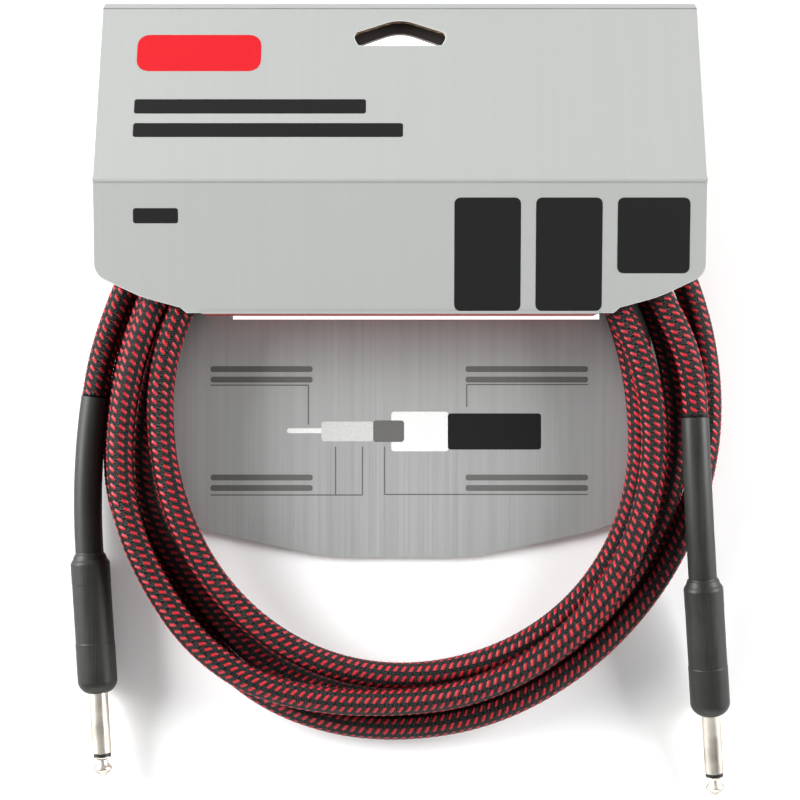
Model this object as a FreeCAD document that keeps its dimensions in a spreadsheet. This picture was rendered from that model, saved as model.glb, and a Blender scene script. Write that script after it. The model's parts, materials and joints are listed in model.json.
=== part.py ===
import FreeCAD, Part
import math
import os
import re

import Sketcher

Vector = FreeCAD.Vector

# A coiled instrument cable in its folded display card.
# The card lies flat at Z = 0, the coil lies on it, and both plugs point to -Y.
# The origin is on the resting plane, under the middle of the card and plugs.

# Driving dimensions, in millimetres and degrees
SIZES = (
    ("cable_dia", 8.8, "cable over its woven cover"),
    ("jacket_dia", 7.8, "cable jacket"),
    ("shield_dia", 5.2, "spiral shield"),
    ("drain_dia", 4.6, "conductive plastic layer under the shield"),
    ("core_dia", 4.0, "plastic insulation round the conductor"),
    ("wire_dia", 0.8, "stranded copper conductor"),
    ("nest_play", 0.04, "radial play between nested pieces"),
    ("pin_dia", 6.35, "plug pin"),
    ("tip_length", 7.1, "plug tip, point to insulating ring"),
    ("ball_dia", 6.2, "widest part of the plug tip"),
    ("ball_at", 3.0, "point of the tip to its widest part"),
    ("neck_dia", 3.4, "neck behind the ball"),
    ("neck_at", 5.8, "point of the tip to its neck"),
    ("rod_dia", 2.4, "rod through the plug"),
    ("rod_start", 4.2, "point of the tip to the front end of the rod"),
    ("rivet_dia", 3.8, "riveted rear end of the rod"),
    ("rivet_height", 0.8, "height of the riveted end"),
    ("ring_dia", 5.98, "insulating ring, a little lower than the pin"),
    ("ring_width", 1.2, "insulating ring behind the tip"),
    ("liner_dia", 3.6, "insulating tube round the rod"),
    ("root_step", 0.2, "thicker root of the pin, under the rim of the boot"),
    ("pin_length", 30.2, "point of the tip to the collar"),
    ("collar_dia", 10.4, "collar of the plug"),
    ("collar_width", 2.0, "thickness of the collar"),
    ("thread_dia", 9.4, "threaded seat for the shell"),
    ("thread_length", 5.4, "length of the threaded seat"),
    ("spigot_dia", 8.0, "spigot that holds the ground clamp"),
    ("spigot_length", 0.8, "length of the spigot"),
    ("washer_thick", 1.4, "insulating washer behind the plug"),
    ("lug_thick", 0.5, "sheet thickness of the tip lug"),
    ("lug_dia", 5.2, "round part of the tip lug"),
    ("lug_tail", 5.5, "tail of the tip lug"),
    ("lug_wide", 2.2, "width of the tail"),
    ("clamp_thick", 0.55, "sheet thickness of the ground clamp"),
    ("clamp_wide", 4.0, "width of the clamp's strap"),
    ("jaw_at", 60.0, "point of the tip to the jaws of the clamp"),
    ("jaw_length", 8.0, "length of the jaws"),
    ("shell_dia", 12.4, "metal shell of the plug"),
    ("shell_wall", 0.6, "wall of the shell"),
    ("shell_end", 72.5, "point of the tip to the rear of the shell"),
    ("sleeve_wall", 0.4, "wall of the insulating sleeve in the shell"),
    ("sleeve_end", 71.0, "point of the tip to the rear of that sleeve"),
    ("boot_wall", 0.45, "shrunk boot over the shell"),
    ("boot_neck_wall", 0.3, "shrunk boot over the cable"),
    ("boot_front", 28.9, "point of the tip to the front rim of the boot"),
    ("boot_rim_dia", 7.5, "front rim of the boot"),
    ("boot_round", 3.9, "length of the rounded front of the boot"),
    ("boot_band_front", 46.1, "point of the tip to the front step"),
    ("boot_band_rear", 65.9, "point of the tip to the rear step"),
    ("boot_step", 0.13, "height of both steps"),
    ("boot_cone", 2.9, "length of the boot's shoulder"),
    ("bend_at", 77.0, "point of the tip to where the cable starts to bend"),
    ("jacket_cut", 60.5, "point of the tip to the cut end of the jacket"),
    ("shield_cut", 58.0, "point of the tip to the cut end of the shield"),
    ("drain_cut", 55.0, "point of the tip to the cut conductive layer"),
    ("core_cut", 50.0, "point of the tip to the cut insulation"),
    ("wire_cut", 42.5, "point of the tip to the end of the conductor"),
    ("left_tip_x", -100.85, "left plug, point of the tip"),
    ("left_tip_y", -128.3, "left plug, point of the tip"),
    ("left_tip_z", 6.9, "left plug, point of the tip"),
    ("left_lean", 3.6, "left plug, lean to the left"),
    ("left_rise", 0.0, "left plug, rise to the rear"),
    ("right_tip_x", 108.0, "right plug, point of the tip"),
    ("right_tip_y", -135.25, "right plug, point of the tip"),
    ("right_tip_z", 3.4, "right plug, point of the tip"),
    ("right_lean", 4.7, "right plug, lean to the left"),
    ("right_rise", 8.4, "right plug, rise to the rear"),
    ("layer_rise", 9.35, "upper layer of turns above the lower one"),
    ("coil_lift", 0.4, "lower layer of turns above the card"),
    ("floor_lift", 0.05, "lower layer of turns above the resting plane"),
    ("top_reach", 109.7, "lower layer, first turn, above the centre"),
    ("top_step", 10.6, "lower layer, step inwards at the top"),
    ("right_reach", 105.1, "lower layer, first turn, right of the centre"),
    ("right_step", 11.5, "lower layer, step inwards at the right"),
    ("bottom_reach", 110.8, "lower layer, first turn, below the centre"),
    ("bottom_step", 9.4, "lower layer, step inwards at the bottom"),
    ("left_reach", 103.7, "lower layer, first turn, left of the centre"),
    ("left_step", 10.4, "lower layer, step inwards at the left"),
    ("upper_left", 80.4, "upper layer, first turn, left of the centre"),
    ("upper_left_step", 14.8, "upper layer, step outwards at the left"),
    ("upper_top", 71.6, "upper layer, first turn, above the centre"),
    ("upper_top_step", 12.2, "upper layer, step outwards at the top"),
    ("upper_right", 85.4, "upper layer, right of the centre"),
    ("upper_bottom", 101.4, "upper layer, below the centre"),
    ("sag_left", 23.0, "height of the left ends of the turns below the centre"),
    ("sag_upper", 4.0, "the same for the first turn of the upper layer"),
    ("sag_right", 3.4, "height of the right end of the first turn below the centre"),
    ("sag_right_step", 5.3, "growth of that height from turn to turn"),
    ("card_thick", 1.5, "fluted board"),
    ("card_wide", 203.2, "width of the card"),
    ("card_corner", 2.0, "corner radius at the top fold"),
    ("fold_y", 135.2, "top fold"),
    ("fold_lift", 0.4, "top fold above the back panel"),
    ("fold_play", 0.6, "bare strip along each side of the top fold"),
    ("fold_gap", 0.3, "front panel clear of the plane of the fold"),
    ("crease_play", 0.1, "clearance in the creases"),
    ("upper_length", 67.0, "front panel, fold to crease"),
    ("upper_slope", 20.0, "slope of the front panel above the crease"),
    ("lower_length", 44.3, "front panel, crease to bottom edge"),
    ("lower_slope", 6.0, "slope of the front panel below the crease"),
    ("lower_side", 12.8, "front panel, bottom edge to the end of the straight side"),
    ("lower_hip_in", 15.6, "front panel, side to the middle of the hollow edge"),
    ("lower_hip_rise", 5.4, "front panel, bottom edge to the middle of the hollow edge"),
    ("lower_foot_in", 28.6, "front panel, side to the foot of the hollow edge"),
    ("lower_foot_rise", 1.9, "front panel, bottom edge to the foot of the hollow edge"),
    ("lower_edge_in", 30.6, "front panel, side to the end of the bottom edge"),
    ("lower_corner", 6.0, "front panel, radius of the lower corners"),
    ("lower_hollow", 45.0, "front panel, radius of the hollow edge"),
    ("hole_half", 16.2, "hang hole, half width at the widest"),
    ("hole_half_low", 14.2, "hang hole, half width of the lower edge"),
    ("hole_height", 8.7, "hang hole, height in the middle"),
    ("hole_side", 3.0, "hang hole, height at its ends"),
    ("hole_end", 1.4, "hang hole, radius of its corners"),
    ("hole_peak", 14.0, "hang hole, radius of its peak"),
    ("hole_front", 14.9, "front panel, fold to the lower edge of the hang hole"),
    ("hole_back", 17.6, "back panel, fold to the lower edge of the hang hole"),
    ("wing_low", 56.0, "back panel, lower end of its full width"),
    ("tongue_top", 36.0, "back panel, upper end of the tongue"),
    ("tongue_wide", 172.0, "tongue of the back panel"),
    ("tongue_low", -36.0, "tongue, lower end of the straight sides"),
    ("tongue_hip_in", 15.0, "tongue, side to the bend of its lower edge"),
    ("tongue_hip_drop", 8.2, "tongue, straight sides to that bend"),
    ("tongue_foot_in", 62.0, "tongue, side to the end of the flat lower edge"),
    ("tongue_foot_drop", 18.0, "tongue, straight sides to the lower edge"),
    ("tongue_round", 60.0, "tongue, radius of the bends in its lower edge"),
    ("tongue_corner", 8.0, "tongue, radius of its lower corners"),
    ("slot_shift", 5.5, "slot, right of the middle"),
    ("slot_play_side", 3.3, "tab clear of the ends of the slot"),
    ("slot_play_top", 0.35, "tab clear of the slot above"),
    ("slot_play_low", 1.15, "tab clear of the slot below"),
    ("flap_in", 4.7, "tuck flap, inside the ends of the bottom edge"),
    ("flap_length", 20.05, "tuck flap, fold to shoulders"),
    ("tab_shift", 5.0, "tab, right of the middle"),
    ("tab_in", 6.3, "tab, inside the ends of the flap"),
    ("tab_length", 21.5, "tuck flap, fold to the end of the tab"),
    ("tab_corner", 0.6, "tab, radius of its corners"),
)
ALIASES = {name for name, value, meaning in SIZES}

# Routes of the two free leads, mouth of the boot first
LEFT_ROUTE = (
    (-103.7, 0.9, 6.7),
    (-102.46, 9.8, 6.63),
    (-100.05, 19.5, 6.5),
    (-97.1, 29.0, 6.35),
    (-93.6, 38.3, 6.3),
)
RIGHT_ROUTE = (
    (98.9, -6.2, 16.4),
    (98.63, 4.2, 15.56),
    (96.7, 14.0, 15.58),
    (93.35, 23.2, 15.65),
    (88.9, 31.8, 15.65),
)
SHARE_OF_RUN = 0.45
START_RADIUS = 40.0
SIDES = ("left", "right")
SHIFTED = re.compile(r"[a-z_]+")

doc = FreeCAD.newDocument("InstrumentCable")
sheet = doc.addObject("Spreadsheet::Sheet", "Sizes")
for row, (name, value, meaning) in enumerate(SIZES, start=1):
    sheet.set(f"A{row}", name)
    sheet.set(f"B{row}", str(value))
    sheet.set(f"C{row}", meaning)
    sheet.setAlias(f"B{row}", name)
doc.recompute()
SUBPARTS = []


# Sizes and expressions

def size(name):
    return float(sheet.get(name))


def bound(text):
    """The same expression, with each size named as the sheet's cell."""
    return SHIFTED.sub(lambda word: "Sizes." + word[0] if word[0] in ALIASES else word[0], str(text))


def sheet_point(*names):
    return Vector(*(size(name) for name in names))


# Bodies with sketches

def origin_plane(body, role):
    return next(item for item in body.Origin.OriginFeatures if item.Role == role)


def outline(body, name, role, corners):
    """A closed outline on one of the body's planes; each corner is a pair of expressions."""
    sketch = body.newObject("Sketcher::SketchObject", name)
    sketch.AttachmentSupport = [(origin_plane(body, role), "")]
    sketch.MapMode = "FlatFace"
    count = len(corners)
    angles = [math.tau * (index + 0.5) / count for index in range(count)]
    places = [Vector(START_RADIUS * math.cos(angle), START_RADIUS * math.sin(angle), 0) for angle in angles]
    for index in range(count):
        sketch.addGeometry(Part.LineSegment(places[index], places[(index + 1) % count]), False)
    for index in range(count):
        sketch.addConstraint(Sketcher.Constraint("Coincident", index, 2, (index + 1) % count, 1))
    for index, (x, y) in enumerate(corners):
        for kind, text, here in (("DistanceX", x, places[index].x), ("DistanceY", y, places[index].y)):
            order = sketch.addConstraint(Sketcher.Constraint(kind, -1, 1, index, 1, here))
            sketch.setExpression(f"Constraints[{order}]", bound(text))
    return sketch


def new_body(label):
    body = doc.addObject("PartDesign::Body", label)
    body.Label = label
    SUBPARTS.append(body)
    return body


def turned(label, corners):
    """A piece turned about its own Z axis; each corner is a radius and a height."""
    body = new_body(label)
    sketch = outline(body, label + "_section", "XZ_Plane", corners)
    feature = body.newObject("PartDesign::Revolution", label + "_turn")
    feature.Profile = sketch
    feature.ReferenceAxis = (sketch, ["V_Axis"])
    feature.Angle = 360
    return body


def padded(label, corners, thickness):
    """A flat piece; gives its body and the sketch of its outline."""
    body = new_body(label)
    sketch = outline(body, label + "_outline", "XY_Plane", corners)
    feature = body.newObject("PartDesign::Pad", label + "_pad")
    feature.Profile = sketch
    feature.setExpression("Length", bound(thickness))
    return body, sketch


def pocket(body, name, role, corners):
    """Cuts an outline right through the body and gives its sketch."""
    sketch = outline(body, name + "_outline", role, corners)
    feature = body.newObject("PartDesign::Pocket", name)
    feature.Profile = sketch
    feature.Type = "ThroughAll"
    feature.SideType = "Symmetric"
    return sketch


def round_corners(body, name, sketch, corners, radius):
    """Rounds the edges that stand on some corners of an outline."""
    doc.recompute()
    base = body.Tip
    wanted = [sketch.Geometry[index].StartPoint for index in corners]
    names = []
    for index, edge in enumerate(base.Shape.Edges, start=1):
        first, last = edge.Vertexes[0].Point, edge.Vertexes[-1].Point
        if abs(first.x - last.x) + abs(first.y - last.y) > 1e-6:
            continue
        if any(math.hypot(first.x - place.x, first.y - place.y) < 1e-4 for place in wanted):
            names.append(f"Edge{index}")
    feature = body.newObject("PartDesign::Fillet", name)
    feature.Base = (base, names)
    feature.setExpression("Radius", bound(radius))
    return feature


def both_sides(corners):
    """The outline of a part that is the same on both sides of the YZ plane."""
    right = [(x, y) for x, y in corners]
    left = [(f"-({x})", y) for x, y in reversed(corners)]
    return right + left


# Paths and tubes

def arc_edge(start, way, end):
    """The arc that leaves start along way and ends at end."""
    chord = end - start
    along = Vector(chord).normalize()
    side = way - along * way.dot(along)
    if side.Length < 1e-7:
        return Part.LineSegment(start, end).toShape()
    turn = math.atan2(side.Length, way.dot(along))
    middle = (start + end) * 0.5 + side.normalize() * (chord.Length / 2 * math.tan(turn / 2))
    return Part.Arc(start, middle, end).toShape()


def biarc(start, way_out, end, way_in):
    """Two arcs that join start to end and touch both directions."""
    gap = end - start
    spare = 2 * (1 - way_out.dot(way_in))
    along = gap.dot(way_out + way_in)
    reach = (math.sqrt(along ** 2 + spare * gap.dot(gap)) - along) / spare
    meet = (start + way_out * reach + end - way_in * reach) * 0.5
    last = arc_edge(end, way_in * -1, meet)
    middle = last.valueAt((last.FirstParameter + last.LastParameter) / 2)
    return [arc_edge(start, way_out, meet), Part.Arc(meet, middle, end).toShape()]


def ring(centre, way, radius):
    return Part.Wire(Part.makeCircle(radius, centre, way))


def tube(edges, radius, way):
    path = Part.Wire(edges)
    start = edges[0].Vertexes[0].Point
    solid = path.makePipeShell([ring(start, way, radius)], True, False)
    if solid.Volume < 0:
        solid.reverse()
    return solid


def rounded_route(points, label):
    """Straight runs joined by arcs that touch them, each as large as its two runs allow."""
    edges = []
    start = points[0]
    radii = []
    for before, corner, after in zip(points, points[1:], points[2:]):
        way_in = (corner - before).normalize()
        way_out = (after - corner).normalize()
        cut = SHARE_OF_RUN * min((corner - before).Length, (after - corner).Length)
        radii.append(cut / math.tan(way_in.getAngle(way_out) / 2))
        first, last = corner - way_in * cut, corner + way_out * cut
        edges.append(Part.LineSegment(start, first).toShape())
        edges.append(arc_edge(first, way_in, last))
        start = last
    edges.append(Part.LineSegment(start, points[-1]).toShape())
    print(label, "bend radii", [round(radius, 1) for radius in radii])
    return edges


def feature(label, shape, placement=None):
    item = doc.addObject("Part::Feature", label)
    item.Label = label
    item.Shape = shape
    item.Placement = placement or FreeCAD.Placement()
    SUBPARTS.append(item)
    return item


# The plugs

def plug_frame(side):
    """Origin at the point of the tip, Z along the plug to its rear."""
    tip = sheet_point(side + "_tip_x", side + "_tip_y", side + "_tip_z")
    lean, rise = math.radians(size(side + "_lean")), math.radians(size(side + "_rise"))
    way = Vector(-math.sin(lean) * math.cos(rise), math.cos(lean) * math.cos(rise), math.sin(rise))
    return FreeCAD.Placement(tip, FreeCAD.Rotation(Vector(0, 0, 1), way))


RING_END = "tip_length + ring_width"
THREAD_START = "pin_length + collar_width"
SPIGOT_START = THREAD_START + " + thread_length"
SPIGOT_END = SPIGOT_START + " + spigot_length"
WASHER_END = SPIGOT_END + " + washer_thick + nest_play"
LUG_START = WASHER_END + " + nest_play"
LUG_END = LUG_START + " + lug_thick"
ROD_HOLE = "rod_dia / 2 + nest_play"
SHELL_BORE = "shell_dia / 2 - shell_wall"
SLEEVE_OUTSIDE = SHELL_BORE + " - nest_play"

# Straight-sided pieces of each plug, as corners of radius and distance from the tip
TURNED_PIECES = {
    "centre_rod": (
        ("0", "rod_start"), ("rod_dia / 2", "rod_start"), ("rod_dia / 2", LUG_END + " + nest_play"),
        ("rivet_dia / 2", LUG_END + " + nest_play"),
        ("rivet_dia / 2", LUG_END + " + nest_play + rivet_height"),
        ("0", LUG_END + " + nest_play + rivet_height"),
    ),
    "tip_insulator": (
        (ROD_HOLE, "tip_length"), ("ring_dia / 2", "tip_length"),
        ("ring_dia / 2", RING_END), (ROD_HOLE, RING_END),
    ),
    "pin_sleeve": (
        ("liner_dia / 2 + nest_play", RING_END), ("pin_dia / 2 - 0.15", RING_END),
        ("pin_dia / 2", RING_END + " + 0.15"), ("pin_dia / 2", "boot_front"),
        ("pin_dia / 2 + root_step", "boot_front + root_step"), ("pin_dia / 2 + root_step", "pin_length"),
        ("collar_dia / 2 - 1.1", "pin_length"), ("collar_dia / 2", "pin_length + 1.0"),
        ("collar_dia / 2", THREAD_START), ("thread_dia / 2", THREAD_START),
        ("thread_dia / 2", SPIGOT_START), ("spigot_dia / 2", SPIGOT_START),
        ("spigot_dia / 2", SPIGOT_END), ("liner_dia / 2 + nest_play", SPIGOT_END),
    ),
    "rod_liner": (
        (ROD_HOLE, RING_END), ("liner_dia / 2", RING_END),
        ("liner_dia / 2", SPIGOT_END), (ROD_HOLE, SPIGOT_END),
    ),
    "rear_washer": (
        (ROD_HOLE, SPIGOT_END + " + nest_play"),
        ("spigot_dia / 2 - nest_play", SPIGOT_END + " + nest_play"),
        ("spigot_dia / 2 - nest_play", WASHER_END), (ROD_HOLE, WASHER_END),
    ),
    "inner_sleeve": (
        (SLEEVE_OUTSIDE + " - sleeve_wall", SPIGOT_END), (SLEEVE_OUTSIDE, SPIGOT_END),
        (SLEEVE_OUTSIDE, "sleeve_end"), (SLEEVE_OUTSIDE + " - sleeve_wall", "sleeve_end"),
    ),
    "metal_shell": (
        ("thread_dia / 2 + nest_play", THREAD_START + " + nest_play"),
        ("shell_dia / 2", THREAD_START + " + nest_play"), ("shell_dia / 2", "shell_end"),
        ("cable_dia / 2 + 3 * nest_play", "shell_end"),
        ("cable_dia / 2 + 3 * nest_play", "shell_end - shell_wall"),
        (SHELL_BORE, "shell_end - shell_wall"), (SHELL_BORE, SPIGOT_START),
        ("thread_dia / 2 + nest_play", SPIGOT_START),
    ),
}


def tip_shape():
    """Rounded point, ball, neck and flange, turned about Z, with a hole for the rod."""
    ball, neck = size("ball_dia") / 2, size("neck_dia") / 2
    ball_at, neck_at, end = size("ball_at"), size("neck_at"), size("tip_length")
    flange = size("pin_dia") / 2 - 0.08
    hole = size("rod_dia") / 2 + size("nest_play")
    hole_start = size("rod_start") - size("nest_play")
    edges = [
        Part.Arc(Vector(0, 0, 0), Vector(0.5, 0, 0.16), Vector(0.85, 0, 0.5)).toShape(),
        Part.LineSegment(Vector(0.85, 0, 0.5), Vector(ball - 0.5, 0, ball_at - 0.9)).toShape(),
        Part.Arc(Vector(ball - 0.5, 0, ball_at - 0.9), Vector(ball, 0, ball_at),
                 Vector(ball - 0.42, 0, ball_at + 0.8)).toShape(),
        Part.Arc(Vector(ball - 0.42, 0, ball_at + 0.8), Vector(neck + 0.35, 0, neck_at - 1.0),
                 Vector(neck, 0, neck_at)).toShape(),
        Part.LineSegment(Vector(neck, 0, neck_at), Vector(neck + 0.1, 0, neck_at + 0.35)).toShape(),
        Part.LineSegment(Vector(neck + 0.1, 0, neck_at + 0.35), Vector(flange - 0.1, 0, end - 0.4)).toShape(),
        Part.Arc(Vector(flange - 0.1, 0, end - 0.4), Vector(flange, 0, end - 0.2),
                 Vector(flange, 0, end)).toShape(),
        Part.LineSegment(Vector(flange, 0, end), Vector(hole, 0, end)).toShape(),
        Part.LineSegment(Vector(hole, 0, end), Vector(hole, 0, hole_start)).toShape(),
        Part.LineSegment(Vector(hole, 0, hole_start), Vector(0, 0, hole_start)).toShape(),
        Part.LineSegment(Vector(0, 0, hole_start), Vector(0, 0, 0)).toShape(),
    ]
    return Part.Face(Part.Wire(edges)).revolve(Vector(0, 0, 0), Vector(0, 0, 1), 360)


def cylinder(name, radius, height, base):
    item = doc.addObject("Part::Cylinder", name)
    item.setExpression("Radius", bound(radius))
    item.setExpression("Height", bound(height))
    item.setExpression("Placement.Base.z", bound(base))
    return item


def box(name, low, lengths):
    item = doc.addObject("Part::Box", name)
    for axis, text in zip("xyz", low):
        item.setExpression("Placement.Base." + axis, bound(text))
    for side, text in zip(("Length", "Width", "Height"), lengths):
        item.setExpression(side, bound(text))
    return item


def joined(kind, name, *items):
    """A Part::MultiFuse of the items, or a Part::Cut of the second from the first."""
    item = doc.addObject(kind, name)
    if kind == "Part::Cut":
        item.Base, item.Tool = items
    else:
        item.Shapes = list(items)
    return item


def tip_lug(side):
    """Ring lug under the rivet, with a tail for the conductor."""
    label = side + "_tip_lug"
    plate = cylinder(label + "_plate", "lug_dia / 2", "lug_thick", LUG_START)
    tail = box(label + "_tail", ("-lug_wide / 2", "rivet_dia / 2 + 0.1", LUG_START),
               ("lug_wide", "lug_thick", "lug_tail"))
    hole = cylinder(label + "_hole", ROD_HOLE, "lug_thick + 1", LUG_START + " - 0.5")
    whole = joined("Part::MultiFuse", label + "_whole", plate, tail)
    return joined("Part::Cut", label, whole, hole)


def ground_clamp(side):
    """Ring on the spigot, a strap, and jaws that grip the cable."""
    label = side + "_ground_clamp"
    strap_low = "spigot_dia / 2 + nest_play"
    jaw_bore = "cable_dia / 2 + nest_play"
    ring_out = cylinder(label + "_ring", strap_low + " + clamp_thick + 0.15", "spigot_length", SPIGOT_START)
    strap = box(label + "_strap", ("-clamp_wide / 2", strap_low, SPIGOT_START),
                ("clamp_wide", "clamp_thick + 0.15", "jaw_at - (" + SPIGOT_START + ") + 1"))
    jaws = cylinder(label + "_jaws", jaw_bore + " + clamp_thick", "jaw_length", "jaw_at")
    whole = joined("Part::MultiFuse", label + "_whole", ring_out, strap, jaws)
    ring_in = cylinder(label + "_hole", strap_low, "spigot_length + 1", SPIGOT_START + " - 0.5")
    jaw_in = cylinder(label + "_bore", jaw_bore, "jaw_length + 1", "jaw_at - 0.5")
    slit = box(label + "_slit", ("-1.5", "-cable_dia", "jaw_at - 0.5"),
               ("3", "cable_dia", "jaw_length + 1"))
    room = joined("Part::MultiFuse", label + "_room", ring_in, jaw_in, slit)
    return joined("Part::Cut", label, whole, room)


def cable_path(side, start):
    """From a distance behind the tip, straight to the bend and in one arc to the boot's mouth."""
    route = LEFT_ROUTE if side == "left" else RIGHT_ROUTE
    mouth = plug_frame(side).inverse().multVec(Vector(*route[0]))
    bend = Vector(0, 0, size("bend_at"))
    straight = Part.LineSegment(Vector(0, 0, start), bend).toShape()
    return [straight, arc_edge(bend, Vector(0, 0, 1), mouth)]


def sheath(side, start, outside, inside):
    """A layer of the cable inside the boot, hollow unless its inside is nothing."""
    path = cable_path(side, start)
    solid = tube(path, outside, Vector(0, 0, 1))
    if inside:
        solid = solid.cut(tube(path, inside, Vector(0, 0, 1)))
    return solid


def turned_solid(corners):
    """A solid turned about Z; a corner of three numbers is the middle of an arc."""
    edges = []
    places = [Vector(corner[0], 0, corner[1]) for corner in corners]
    kinds = [len(corner) for corner in corners]
    index = 0
    while index < len(corners):
        nearest = (index + 1) % len(corners)
        if kinds[nearest] == 3:
            after = (index + 2) % len(corners)
            edges.append(Part.Arc(places[index], places[nearest], places[after]).toShape())
            index += 2
        else:
            edges.append(Part.LineSegment(places[index], places[nearest]).toShape())
            index += 1
    return Part.Face(Part.Wire(edges)).revolve(Vector(0, 0, 0), Vector(0, 0, 1), 360)


def boot_shape(side):
    """A shrunk tube over the collar, the shell and the first stretch of the cable."""
    play = size("nest_play")
    shell = size("shell_dia") / 2 + play
    cable = size("cable_dia") / 2 + play
    wide = shell + size("boot_wall")
    waist = wide - size("boot_step")
    neck = cable + size("boot_neck_wall")
    front, collar = size("boot_front"), size("pin_length")
    round_end = front + size("boot_round")
    band_front, band_rear = size("boot_band_front"), size("boot_band_rear")
    cone_start, bend = size("shell_end") + 1.1, size("bend_at")
    cone_end = cone_start + size("boot_cone")
    step = 0.3
    root = size("pin_dia") / 2 + size("root_step") + play
    outside = turned_solid((
        (0, front), (size("boot_rim_dia") / 2, front),
        (wide - 1.0, front + 0.38 * size("boot_round"), "arc"), (wide, round_end),
        (wide, band_front - step), (waist, band_front), (waist, band_rear),
        (waist + size("boot_step") / 2, band_rear + step), (waist + size("boot_step") / 2, cone_start - 0.8),
        (waist - 0.25, cone_start, "arc"), (waist - 0.7, cone_start + 0.6),
        (neck + 0.5, cone_end - 0.6), (neck + 0.11, cone_end - 0.2, "arc"), (neck, cone_end + 0.2),
        (neck, bend), (0, bend),
    ))
    collar_room, thread_start = size("collar_dia") / 2 + play, collar + size("collar_width")
    inside = turned_solid((
        (0, front - 1), (root, front - 1), (root, collar - play),
        (collar_room - 1.1, collar - play), (collar_room, collar + 1.0 - play),
        (collar_room, thread_start), (shell, thread_start),
        (shell, size("shell_end") + play), (cable, cone_end), (cable, bend), (0, bend),
    ))
    neck_path = cable_path(side, bend - 1)[1:]
    neck_outside = tube(neck_path, neck, Vector(0, 0, 1))
    neck_inside = tube(neck_path, cable, Vector(0, 0, 1))
    return outside.cut(inside).fuse(neck_outside.cut(neck_inside)).removeSplitter()


CABLE_LAYERS = (
    ("woven_end", "jacket_cut", "cable_dia", "jacket_dia"),
    ("jacket_end", "jacket_cut", "jacket_dia", "shield_dia"),
    ("shield_end", "shield_cut", "shield_dia", "drain_dia"),
    ("drain_layer_end", "drain_cut", "drain_dia", "core_dia"),
    ("insulation_end", "core_cut", "core_dia", "wire_dia"),
    ("conductor_end", "wire_cut", "wire_dia", None),
)


def plug(side):
    place = plug_frame(side)
    feature(side + "_tip", tip_shape(), place)
    for name, corners in TURNED_PIECES.items():
        turned(f"{side}_{name}", corners).Placement = place
    for piece in (tip_lug(side), ground_clamp(side)):
        piece.Placement = place
        SUBPARTS.append(piece)
    for name, start, outside, inside in CABLE_LAYERS:
        bore = size(inside) / 2 + size("nest_play") if inside else None
        feature(f"{side}_{name}", sheath(side, size(start), size(outside) / 2, bore), place)
    feature(side + "_boot", boot_shape(side), place)


# The free leads and the coil

def lead(side, route):
    points = [Vector(*place) for place in route]
    edges = rounded_route(points, side + "_lead")
    way = (points[1] - points[0]).normalize()
    solid = tube(edges, size("cable_dia") / 2, way)
    length = sum(edge.Length for edge in edges)
    section = math.pi * size("cable_dia") ** 2 / 4
    print(side + "_lead length", round(length, 1), "volume share", round(solid.Volume / section / length, 4))
    feature(side + "_lead", solid)
    return length


CLIMB_START, CLIMB_END, LAST_STATION = 2.5, 3.0, 4.25
QUARTERS = ("left", "top", "right", "bottom")
WAYS = {"left": Vector(0, 1, 0), "top": Vector(1, 0, 0), "right": Vector(0, -1, 0), "bottom": Vector(-1, 0, 0)}


def coil_station(turn):
    """Place and direction of the cable after so many turns, counted from the left, clockwise."""
    side = QUARTERS[int(4 * turn) % 4]
    whole = int(turn)
    climb = min(max((turn - CLIMB_START) / (CLIMB_END - CLIMB_START), 0.0), 1.0)
    low = size("card_thick") + size("coil_lift") + size("cable_dia") / 2
    if side == "bottom":
        low = size("floor_lift") + size("cable_dia") / 2
    height = low + climb * size("layer_rise")
    if turn < CLIMB_END:
        reach = size(side + "_reach") - whole * size(side + "_step")
        sag = size("sag_left") if side == "left" else size("sag_right") + whole * size("sag_right_step")
    else:
        above = whole - int(CLIMB_END)
        step = size(f"upper_{side}_step") if side in ("left", "top") else 0.0
        reach = size("upper_" + side) + above * step
        fall = (size("sag_left") - size("sag_upper")) * above
        sag = size("sag_upper") + fall if side == "left" else size("sag_right") + 2 * size("sag_right_step")
    place = {
        "left": Vector(-reach, -sag, height),
        "top": Vector(0, reach, height),
        "right": Vector(reach, -sag, height),
        "bottom": Vector(0, -reach, height),
    }[side]
    way = Vector(WAYS[side])
    if 0 < climb < 1:
        way = (way + Vector(0, 0, 0.045)).normalize()
    return place, way


def coil_edges():
    left = [Vector(*place) for place in LEFT_ROUTE[-2:]]
    right = [Vector(*place) for place in RIGHT_ROUTE[-2:]]
    stations = [(left[1], (left[1] - left[0]).normalize())]
    turn = 0.25
    while turn <= LAST_STATION:
        stations.append(coil_station(turn))
        turn += 0.25
    stations.append((right[1], (right[0] - right[1]).normalize()))
    edges = []
    for (start, way_out), (end, way_in) in zip(stations, stations[1:]):
        edges += biarc(start, way_out, end, way_in)
    return edges, stations[0][1]


def least_gap(edges, spacing=2.0):
    """Least clear distance between stretches of the cable that aren't next to each other."""
    points = Part.Wire(edges).discretize(Distance=spacing)
    skip = int(3 * size("cable_dia") / spacing)
    nearest = 1e9
    for index, here in enumerate(points):
        for other in points[index + skip:]:
            if abs(here.x - other.x) < nearest and abs(here.y - other.y) < nearest:
                nearest = min(nearest, here.distanceToPoint(other))
    return nearest - size("cable_dia")


def coil():
    edges, way = coil_edges()
    solid = tube(edges, size("cable_dia") / 2, way)
    length = sum(edge.Length for edge in edges)
    section = math.pi * size("cable_dia") ** 2 / 4
    print("coil length", round(length, 1), "volume share", round(solid.Volume / section / length, 4))
    print("coil least gap to itself", round(least_gap(edges), 3))
    print("coil tightest radius", round(min(edge.Curve.Radius for edge in edges), 1))
    feature("cable_coil", solid)
    return length


# The card

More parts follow.
